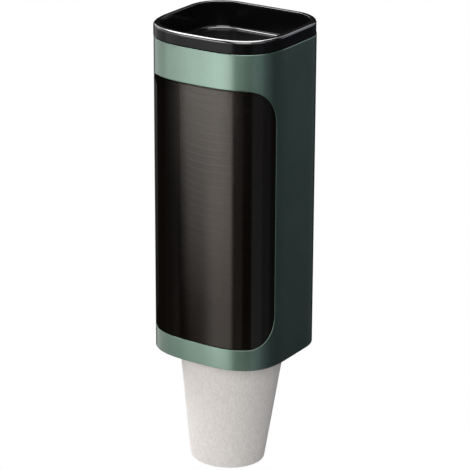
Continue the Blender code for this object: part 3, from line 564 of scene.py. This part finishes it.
def cut_away(piece, cutter):
    """Boolean difference; the cutter is used up."""
    apply_modifier(piece, "BOOLEAN", operation="DIFFERENCE", object=cutter, solver="EXACT")
    bpy.data.objects.remove(cutter, do_unlink=True)


def finish_piece(piece, material, body, node):
    """Smooth shading, finish, body and the CAD node that the piece stands for; no body for one that bends."""
    work_on(piece)
    bpy.ops.object.shade_smooth_by_angle(angle=SHARP_ANGLE)
    piece.data.materials.clear()
    piece.data.materials.append(material)
    if body:
        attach(piece, body)
    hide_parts(node)


def section_outline():
    """Points of the shell's section from the middle of the back, anticlockwise seen from above."""
    right = []
    for step in range(FRONT_STEPS + 1):
        turn = math.pi / 2 * step / FRONT_STEPS
        across, forward = math.sin(turn), math.cos(turn)
        fullness = (across / HALF_WIDTH) ** FRONT_FULLNESS + (forward / FRONT_DEPTH) ** FRONT_FULLNESS
        reach = fullness ** (-1 / FRONT_FULLNESS)
        right.append((reach * across, -reach * forward))
    middle = (HALF_WIDTH - BACK_CORNER, BACK_DEPTH - BACK_CORNER)
    for step in range(CORNER_STEPS + 1):
        turn = math.pi / 2 * step / CORNER_STEPS
        right.append((middle[0] + BACK_CORNER * math.cos(turn), middle[1] + BACK_CORNER * math.sin(turn)))
    right.append((0.0, BACK_DEPTH))
    left = [(-x, y) for x, y in reversed(right[1:])]
    return [Vector((x, y + SECTION_Y)) for x, y in left + right]


def section_path():
    """Curve along the section, for the wrap, and its length."""
    points = section_outline()
    curve = bpy.data.curves.new("section_path", "CURVE")
    curve.dimensions = "3D"
    curve.twist_mode = "Z_UP"
    curve.use_deform_bounds = False
    spline = curve.splines.new("POLY")
    spline.points.add(len(points) - 1)
    for point, place in zip(spline.points, points):
        point.co = (place.x, place.y, 0.0, 1.0)
    path = bpy.data.objects.new("section_path", curve)
    bpy.context.scene.collection.objects.link(path)
    return path, sum((after - before).length for before, after in zip(points, points[1:]))


def wrap(piece):
    """Wrap a flat piece round the section: x runs along the skin from the middle of the back, y inwards."""
    work_on(piece)
    bpy.ops.object.mode_set(mode="EDIT")
    for column in range(1, SKIN_COLUMNS):
        bpy.ops.mesh.select_all(action="SELECT")
        at = (GIRTH * column / SKIN_COLUMNS, 0, 0)
        bpy.ops.mesh.bisect(plane_co=at, plane_no=(1, 0, 0))
    bpy.ops.object.mode_set(mode="OBJECT")
    apply_modifier(piece, "CURVE", object=SKIN_PATH, deform_axis="POS_X")
    bpy.ops.object.mode_set(mode="EDIT")
    bpy.ops.mesh.select_all(action="SELECT")
    bpy.ops.mesh.remove_doubles(threshold=WRAP_GAP)
    bpy.ops.object.mode_set(mode="OBJECT")


def weigh_normals(piece):
    """Keep the broad faces even where small roundings meet them."""
    work_on(piece)
    bpy.ops.object.shade_smooth_by_angle(angle=SHARP_ANGLE)
    apply_modifier(piece, "WEIGHTED_NORMAL", keep_sharp=True)


def window_block(name, grow, front, back):
    """Flat block with the window's outline, grown all round, in the middle of the front."""
    half_span = WINDOW_HALF_SPAN + grow
    low, high = SHELL_BOTTOM + WINDOW_LOW - grow, SHELL_BOTTOM + WINDOW_HIGH + grow
    piece = block(name, (GIRTH / 2 - half_span, front, low), (GIRTH / 2 + half_span, back, high))
    bpy.ops.object.mode_set(mode="EDIT")
    for level, corner in ((high, WINDOW_TOP_CORNER + grow), (low, WINDOW_BOTTOM_CORNER + grow)):
        pick("EDGE", lambda edge: lies_at(edge, "z", level) and lies_at(edge, "x", edge.verts[0].co.x))
        bpy.ops.mesh.bevel(offset=corner, segments=WINDOW_CORNER_STEPS, profile=0.5, affect="EDGES")
    bpy.ops.object.mode_set(mode="OBJECT")
    return piece


def soften_outer_edges(piece, width):
    """Round the sharp edges of a flat piece's outer face, but not its two ends, which meet at the back."""
    work_on(piece)
    bpy.ops.object.mode_set(mode="EDIT")
    pick("EDGE", lambda edge: lies_at(edge, "y", 0.0) and not lies_at(edge, "x", 0.0)
         and not lies_at(edge, "x", GIRTH)
         and len(edge.link_faces) == 2 and edge.calc_face_angle() > MOULDED_ANGLE)
    bpy.ops.mesh.bevel(offset=width, segments=EDGE_STEPS, profile=0.5, affect="EDGES", clamp_overlap=True)
    bpy.ops.object.mode_set(mode="OBJECT")


def model_shell():
    """Green moulding: a closed tube with the window's opening, eased edges and hook slots."""
    shell = block("shell_moulding", (0, 0, SHELL_BOTTOM), (GIRTH, SHELL_WALL, SHELL_BOTTOM + SHELL_HEIGHT))
    cut_away(shell, window_block("window_opening", WINDOW_GAP, -CUT_REACH, CUT_REACH))
    for at in (SLOT_OFFSET, GIRTH - SLOT_OFFSET):
        low = (at - SLOT_WIDTH / 2, -CUT_REACH, SHELL_BOTTOM + SLOT_LOW)
        high = (at + SLOT_WIDTH / 2, CUT_REACH, SHELL_BOTTOM + SLOT_HIGH)
        cut_away(shell, block("hook_slot", low, high))
    soften_outer_edges(shell, SHELL_EDGE)
    bpy.ops.object.mode_set(mode="EDIT")
    pick("FACE", lambda face: lies_at(face, "x", 0.0) or lies_at(face, "x", GIRTH))
    bpy.ops.mesh.delete(type="FACE")
    bpy.ops.object.mode_set(mode="OBJECT")
    wrap(shell)
    weigh_normals(shell)
    return shell


def model_boss(number, degrees):
    """Screw boss with the rib that ties it to the shell's side, inside the lower end."""
    turn = math.radians(degrees)
    x = BOSS_CIRCLE * math.cos(turn)
    y = COLUMN_Y + BOSS_CIRCLE * math.sin(turn)
    wall_x = math.copysign(HALF_WIDTH - SHELL_WALL / 2, x)
    low = (min(x, wall_x), y - RIB_HALF, SHELL_BOTTOM + BOSS_LOW + BOSS_EDGE)
    high = (max(x, wall_x), y + RIB_HALF, SHELL_BOTTOM + BOSS_HIGH - BOSS_EDGE)
    rib = block("boss_rib", low, high)
    height = BOSS_HIGH - BOSS_LOW
    middle = (x, y, SHELL_BOTTOM + (BOSS_LOW + BOSS_HIGH) / 2)
    bpy.ops.mesh.primitive_cylinder_add(vertices=BOSS_SIDES, radius=BOSS_RADIUS, depth=height,
                                        location=middle)
    boss = start_piece(f"screw_boss_{number}")
    apply_modifier(boss, "BOOLEAN", operation="UNION", object=rib, solver="EXACT")
    bpy.data.objects.remove(rib, do_unlink=True)
    deselect_all()
    below = (x, y, middle[2] - BOSS_ROOF)
    bpy.ops.mesh.primitive_cylinder_add(vertices=BOSS_HOLE_SIDES, radius=BOSS_HOLE, depth=height,
                                        location=below)
    cut_away(boss, start_piece("boss_hole"))
    apply_modifier(boss, "BEVEL", width=BOSS_EDGE, segments=2, limit_method="ANGLE",
                   angle_limit=MOULDED_ANGLE)
    return boss


def model_window():
    """Smoked panel, flush with the skin, its edge polished round."""
    panel = window_block("smoked_window_panel", 0.0, 0.0, WINDOW_THICKNESS)
    soften_outer_edges(panel, WINDOW_EDGE)
    wrap(panel)
    weigh_normals(panel)
    return panel


def model_flange():
    """Thin border behind the shell's wall that the panel is held by."""
    flange = window_block("smoked_window_flange", FLANGE_REACH, FLANGE_FRONT, FLANGE_BACK)
    cut_away(flange, window_block("flange_opening", -FLANGE_BORDER, -CUT_REACH, CUT_REACH))
    wrap(flange)
    weigh_normals(flange)
    return flange


def model_lid():
    """Gloss black tray lid: a flat band, folded over the lip and down into the tray, and folded behind the
    shell's wall at its lower edge; then wrapped, and closed with the tray's floor and the underside."""
    deselect_all()
    middle = (GIRTH / 2, BAND_DEPTH, SHELL_BOTTOM + (BAND_LOW + BAND_HIGH) / 2)
    bpy.ops.mesh.primitive_plane_add(size=1.0, location=middle, rotation=(math.pi / 2, 0, 0))
    bpy.ops.transform.resize(value=(GIRTH, 1, BAND_HIGH - BAND_LOW))
    lid = start_piece("gloss_tray_lid")
    bottom, top = SHELL_BOTTOM + BAND_LOW, SHELL_BOTTOM + BAND_HIGH
    floor, underside = SHELL_BOTTOM + TRAY_FLOOR, SHELL_BOTTOM + PLUG_LOW
    bpy.ops.object.mode_set(mode="EDIT")
    pick("EDGE", lambda edge: lies_at(edge, "z", top))
    for across, down in ((TRAY_DEPTH - BAND_DEPTH, 0), (0, TRAY_FLOOR - BAND_HIGH), (FLOOR_RIM, 0)):
        bpy.ops.mesh.extrude_region_move(TRANSFORM_OT_translate={"value": (0, across, down)})
    pick("EDGE", lambda edge: lies_at(edge, "z", bottom) and lies_at(edge, "y", BAND_DEPTH))
    for across, down in ((PLUG_DEPTH - BAND_DEPTH, 0), (0, PLUG_LOW - BAND_LOW), (FLOOR_RIM, 0)):
        bpy.ops.mesh.extrude_region_move(TRANSFORM_OT_translate={"value": (0, across, down)})
    for level, depth, rounding, steps in (
        (top, BAND_DEPTH, LIP_OUTER_ROUNDING, LIP_STEPS),
        (top, TRAY_DEPTH, LIP_INNER_ROUNDING, LIP_STEPS),
        (floor, TRAY_DEPTH, FLOOR_ROUNDING, FLOOR_STEPS),
    ):
        pick("EDGE", lambda edge: lies_at(edge, "z", level) and lies_at(edge, "y", depth))
        bpy.ops.mesh.bevel(offset=rounding, segments=steps, profile=0.5, affect="EDGES")
    bpy.ops.object.mode_set(mode="OBJECT")
    wrap(lid)
    bpy.ops.object.mode_set(mode="EDIT")
    for level in (floor, underside):
        pick("EDGE", lambda edge: edge.is_boundary and abs(edge.verts[0].co.z - level) < WRAP_GAP)
        bpy.ops.mesh.edge_face_add()
    bpy.ops.mesh.select_all(action="SELECT")
    bpy.ops.mesh.normals_make_consistent(inside=False)
    bpy.ops.transform.translate(value=(-LID_PLAY, 0, 0))
    bpy.ops.object.mode_set(mode="OBJECT")
    weigh_normals(lid)
    return lid


def cup_rings():
    """Radius and height of each ring of a cup: under its floor, out round the foot, up, over the curl and
    down inside."""
    inner_foot = CUP_FOOT - FOOT_FOLD
    rings = [(inner_foot, CUP_FLOOR - CUP_PAPER), (inner_foot, FOOT_ROUNDING)]
    for step in range(1, FOOT_STEPS + 1):
        turn = math.pi / 2 * step / FOOT_STEPS
        rings.append((inner_foot + FOOT_ROUNDING * (1 - math.cos(turn)),
                      FOOT_ROUNDING * (1 - math.sin(turn))))
    for step in range(FOOT_STEPS + 1):
        turn = math.pi / 2 * step / FOOT_STEPS
        rings.append((CUP_FOOT - FOOT_ROUNDING + FOOT_ROUNDING * math.sin(turn),
                      FOOT_ROUNDING * (1 - math.cos(turn))))
    neck = CUP_HEIGHT - 2 * CURL_RADIUS
    for height in (*CUP_WALL_LEVELS, neck):
        rings.append((CUP_FOOT + height * CUP_SLOPE, height))
    top_radius = CUP_FOOT + CUP_HEIGHT * CUP_SLOPE
    for step in range(1, CURL_STEPS + 1):
        turn = math.radians(CURL_START + CURL_TURN * step)
        rings.append((top_radius - CURL_SET_BACK + CURL_RADIUS * math.cos(turn),
                      CUP_HEIGHT - CURL_RADIUS + CURL_RADIUS * math.sin(turn)))
    inside = CUP_FOOT - CUP_PAPER
    for height in (CUP_INNER_RIM, *reversed(CUP_WALL_LEVELS), CUP_FLOOR):
        rings.append((inside + height * CUP_SLOPE, height))
    return rings


def model_cup():
    """One paper cup: a disc for the floor's underside, extruded ring by ring, closed with the floor."""
    deselect_all()
    rings = cup_rings()
    radius, height = rings[0]
    bpy.ops.mesh.primitive_circle_add(vertices=CUP_SIDES, radius=radius, fill_type="NGON",
                                      location=(0, 0, height))
    cup = start_piece("paper_cup")
    bpy.ops.object.mode_set(mode="EDIT")
    pick("EDGE", lambda edge: True)
    for next_radius, next_height in rings[1:]:
        bpy.ops.mesh.extrude_edges_move(TRANSFORM_OT_translate={"value": (0, 0, next_height - height)})
        share = next_radius / radius
        bpy.ops.transform.resize(value=(share, share, 1), center_override=(0, 0, 0))
        radius, height = next_radius, next_height
    bpy.ops.mesh.edge_face_add()
    bpy.ops.mesh.select_all(action="SELECT")
    bpy.ops.mesh.normals_make_consistent(inside=False)
    bpy.ops.object.mode_set(mode="OBJECT")
    return cup


def stand_cup(pattern, name, level):
    """Copy of the cup in its place in the nest, its foot swung left about its rim; the nest leans right."""
    cup = copy_of(pattern, name)
    lean = LEANS[level] if level < len(LEANS) else 0.0
    azimuth = math.radians(CAMERA_AZIMUTH)
    tilt_axis = Vector((math.sin(azimuth), -math.cos(azimuth), 0))
    rim = Matrix.Translation((0, 0, CUP_HEIGHT))
    leaning = rim @ Matrix.Rotation(math.radians(-lean), 4, tilt_axis) @ rim.inverted()
    sway = NEST_SWAY * min(max(level - 1, 0) / SWAY_CUPS, 1)
    at = (sway * math.cos(azimuth), COLUMN_Y + sway * math.sin(azimuth), HANGING_FOOT + level * CUP_PITCH)
    turned = Matrix.Rotation(math.radians(CUP_TURN * level), 4, "Z")
    cup.data.transform(Matrix.Translation(at) @ leaning @ turned)
    return cup


def model_spring():
    """Torsion spring about its own pin, from round wire."""
    half = SPRING_COILS * SPRING_STEP / 2
    route = [(-SPRING_COIL, -half, -SPRING_LEG)]
    for step in range(SPRING_POINTS + 1):
        share = step / SPRING_POINTS
        turn = math.pi - math.tau * SPRING_COILS * share
        route.append((SPRING_COIL * math.cos(turn), half * (2 * share - 1), SPRING_COIL * math.sin(turn)))
    route.append((SPRING_COIL, half, -SPRING_LEG))
    curve = bpy.data.curves.new("spring_wire", "CURVE")
    curve.dimensions = "3D"
    curve.bevel_depth = SPRING_WIRE
    curve.bevel_resolution = 3
    curve.use_fill_caps = True
    spline = curve.splines.new("POLY")
    spline.points.add(len(route) - 1)
    for point, place in zip(spline.points, route):
        point.co = (*place, 1.0)
    spring = bpy.data.objects.new("spring_wire", curve)
    bpy.context.scene.collection.objects.link(spring)
    work_on(spring)
    bpy.ops.object.convert(target="MESH")
    return bpy.context.object


def eased_copy(node, name, width):
    """Copy of a CAD node, merged to whole faces, its edges eased as the mould or the press leaves them."""
    piece = copy_of(frame["nodes"][node], name)
    piece.parent = None
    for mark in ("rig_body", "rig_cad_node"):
        del piece[mark]
    work_on(piece)
    bpy.ops.object.mode_set(mode="EDIT")
    bpy.ops.mesh.select_all(action="SELECT")
    bpy.ops.mesh.remove_doubles(threshold=CAD_SAME_PLACE)
    bpy.ops.mesh.dissolve_limited(angle_limit=CAD_FLAT_ANGLE)
    bpy.ops.object.mode_set(mode="OBJECT")
    apply_modifier(piece, "BEVEL", width=width, segments=2, limit_method="ANGLE", angle_limit=SHARP_ANGLE)
    return piece


def soft_box(tree, azimuth, elevation, box):
    """One softbox of the studio: how bright it is in a direction."""
    left, right, bottom, top, soft_left, soft_right, soft_bottom, soft_top, strength = box
    level = strength
    for value, edge, soft, rising in (
        (azimuth, left, soft_left, True),
        (azimuth, right, soft_right, False),
        (elevation, bottom, soft_bottom, True),
        (elevation, top, soft_top, False),
    ):
        start, end = math.radians(edge - soft / 2), math.radians(edge + soft / 2)
        ramp = add_node(tree, "ShaderNodeMapRange", {"interpolation_type": "SMOOTHSTEP"},
                        {"Value": value, "From Min": start, "From Max": end,
                         "To Min": 0.0 if rising else 1.0, "To Max": 1.0 if rising else 0.0})
        product = add_node(tree, "ShaderNodeMath", {"operation": "MULTIPLY"},
                           {0: ramp.outputs["Result"], 1: level})
        level = product.outputs["Value"]
    return level


def light_studio():
    """World as a studio: softboxes round the object, seen by light and reflections; the camera sees white."""
    world = bpy.data.worlds.new("studio")
    bpy.context.scene.world = world
    world.use_nodes = True
    tree = world.node_tree
    tree.nodes.clear()
    direction = add_node(tree, "ShaderNodeTexCoord").outputs["Generated"]
    parts = add_node(tree, "ShaderNodeSeparateXYZ", inputs={"Vector": direction})
    forward = add_node(tree, "ShaderNodeMath", {"operation": "MULTIPLY"}, {0: parts.outputs["Y"], 1: -1.0})
    azimuth = add_node(tree, "ShaderNodeMath", {"operation": "ARCTAN2"},
                       {0: parts.outputs["X"], 1: forward.outputs["Value"]}).outputs["Value"]
    elevation = add_node(tree, "ShaderNodeMath", {"operation": "ARCSINE"},
                         {0: parts.outputs["Z"]}).outputs["Value"]
    glow = []
    for boxes, tint in ((NEUTRAL_BOXES, "#ffffff"), (COOL_BOXES, "#e4f0ff")):
        total = 0.0
        for box in boxes:
            level = soft_box(tree, azimuth, elevation, box)
            added = add_node(tree, "ShaderNodeMath", {"operation": "ADD"}, {0: level, 1: total})
            total = added.outputs["Value"]
        glow.append(add_node(tree, "ShaderNodeBackground", inputs={"Color": colour(tint), "Strength": total}))
    studio = add_node(tree, "ShaderNodeAddShader",
                      inputs={0: glow[0].outputs["Background"], 1: glow[1].outputs["Background"]})
    white = add_node(tree, "ShaderNodeBackground", inputs={"Color": colour("#ffffff"), "Strength": 1.0})
    ray = add_node(tree, "ShaderNodeLightPath")
    seen = add_node(tree, "ShaderNodeMixShader",
                    inputs={0: ray.outputs["Is Camera Ray"], 1: studio.outputs["Shader"],
                            2: white.outputs["Background"]})
    add_node(tree, "ShaderNodeOutputWorld", inputs={"Surface": seen.outputs["Shader"]})


def lay_floor():
    """Plain pale floor, well below the hung object; the camera sees it white, and it lights nothing."""
    deselect_all()
    bpy.ops.mesh.primitive_plane_add(size=30.0, location=(0, 0, FLOOR_HEIGHT))
    floor = start_piece("studio_floor")
    material, tree, _ = new_material("pale_painted_floor")
    pale = add_node(tree, "ShaderNodeBsdfDiffuse", inputs={"Color": colour("#f4f4f4")})
    white = add_node(tree, "ShaderNodeEmission", inputs={"Color": colour("#ffffff"), "Strength": 1.0})
    ray = add_node(tree, "ShaderNodeLightPath")
    seen = add_node(tree, "ShaderNodeMixShader",
                    inputs={0: ray.outputs["Is Camera Ray"], 1: pale.outputs["BSDF"],
                            2: white.outputs["Emission"]})
    add_node(tree, "ShaderNodeOutputMaterial", inputs={"Surface": seen.outputs["Shader"]})
    floor.data.materials.append(material)
    floor.visible_diffuse = False
    floor.visible_glossy = False
    floor.visible_shadow = False


def set_camera():
    """Camera at the photograph's place and angle."""
    azimuth = math.radians(CAMERA_AZIMUTH)
    elevation = math.radians(CAMERA_ELEVATION)
    back = Vector((
        math.sin(azimuth) * math.cos(elevation),
        -math.cos(azimuth) * math.cos(elevation),
        math.sin(elevation),
    ))
    right = Vector((math.cos(azimuth), math.sin(azimuth), 0))
    above = back.cross(right)
    roll = math.radians(CAMERA_ROLL)
    across = right * math.cos(roll) + above * math.sin(roll)
    upward = above * math.cos(roll) - right * math.sin(roll)
    aim = Vector((0, SECTION_Y, CAMERA_AIM)) + right * CAMERA_SIDESTEP
    data = bpy.data.cameras.new("photo_camera")
    data.lens = CAMERA_LENS
    data.sensor_width = 36.0
    camera = bpy.data.objects.new("photo_camera", data)
    bpy.context.scene.collection.objects.link(camera)
    turned = Matrix((across, upward, back)).transposed().to_4x4()
    camera.matrix_world = Matrix.Translation(aim + back * CAMERA_DISTANCE) @ turned
    bpy.context.scene.camera = camera


lacquer = sprayed_metallic_lacquer()
smoked = smoked_acrylic()
gloss_black = gloss_black_moulding()
matt_black = spark_eroded_black()
cup_paper = recycled_paper()
natural = natural_acetal()
bright_zinc = zinc_plated_steel()
tape = foam_tape()

SKIN_PATH, GIRTH = section_path()

finish_piece(model_shell(), lacquer, "dispenser", "body_shell")
for number, degrees in enumerate(BOSS_PLACES, start=1):
    finish_piece(model_boss(number, degrees), lacquer, "dispenser", "body_shell")
finish_piece(model_window(), smoked, "dispenser", "front_window")
finish_piece(model_flange(), smoked, "dispenser", "front_window")
finish_piece(model_lid(), gloss_black, "lid", "lid_tray")

# Cups from the lowest up: piece, body, slot, CAD node
cups = [
    ("hanging_paper_cup", "pulled_cup", "cup_paper", "hanging_cup"),
    ("held_paper_cup", "nest", "cup_paper", "held_cup"),
]
cups += [(f"nested_paper_cup_{number:02d}", "nest", "nested_cups", "cup_stack")
         for number in range(1, CUP_COUNT - 1)]
cup_pattern = model_cup()
for level, (name, body, slot, node) in enumerate(cups):
    finish_piece(stand_cup(cup_pattern, name, level), cup_paper, body, node)
bpy.data.objects.remove(cup_pattern, do_unlink=True)

# Pieces kept in their CAD shape: CAD node, piece, width of the eased edges, finish, body, slot
kept_shapes = [
    ("outlet_base", "outlet_plate", 0.0003, matt_black, "dispenser", "black_plastic"),
    ("cup_guide", "guide_sleeve", 0.0003, matt_black, "dispenser", "black_plastic"),
    ("wall_plate", "hook_plate", 0.0005, matt_black, "wall_bracket", "black_plastic"),
    ("adhesive_pad", "foam_pad", 0.0001, tape, "wall_bracket", "foam"),
]
for number in range(1, 5):
    kept_shapes += [
        (f"retaining_pawl_{number}", f"acetal_pawl_{number}", 0.00015, natural, f"pawl_{number}",
         "natural_plastic"),
        (f"pawl_pin_{number}", f"steel_pin_{number}", 0.0001, bright_zinc, "dispenser", "steel"),
        (f"base_screw_{number}", f"cross_head_screw_{number}", 0.0001, bright_zinc, "dispenser", "steel"),
    ]
for node, name, width, finish, body, slot in kept_shapes:
    finish_piece(eased_copy(node, name, width), finish, body, node)

# Springs: each about its pawl's pin, attached to no body
spring_pattern = model_spring()
for number, degrees in enumerate(SPRING_PLACES, start=1):
    turn = math.radians(degrees)
    outward = Vector((math.cos(turn), math.sin(turn), 0))
    pin = Vector((0, COLUMN_Y, SPRING_HEIGHT)) + outward * SPRING_CIRCLE
    spring = copy_of(spring_pattern, f"wire_spring_{number}")
    spring.data.transform(Matrix.Translation(pin) @ Matrix.Rotation(turn, 4, "Z"))
    finish_piece(spring, bright_zinc, None, f"pawl_spring_{number}")
    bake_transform(spring)
bpy.data.objects.remove(spring_pattern, do_unlink=True)
bpy.data.objects.remove(SKIN_PATH, do_unlink=True)

lay_floor()
light_studio()
set_camera()
bpy.context.scene.view_settings.view_transform = "Standard"
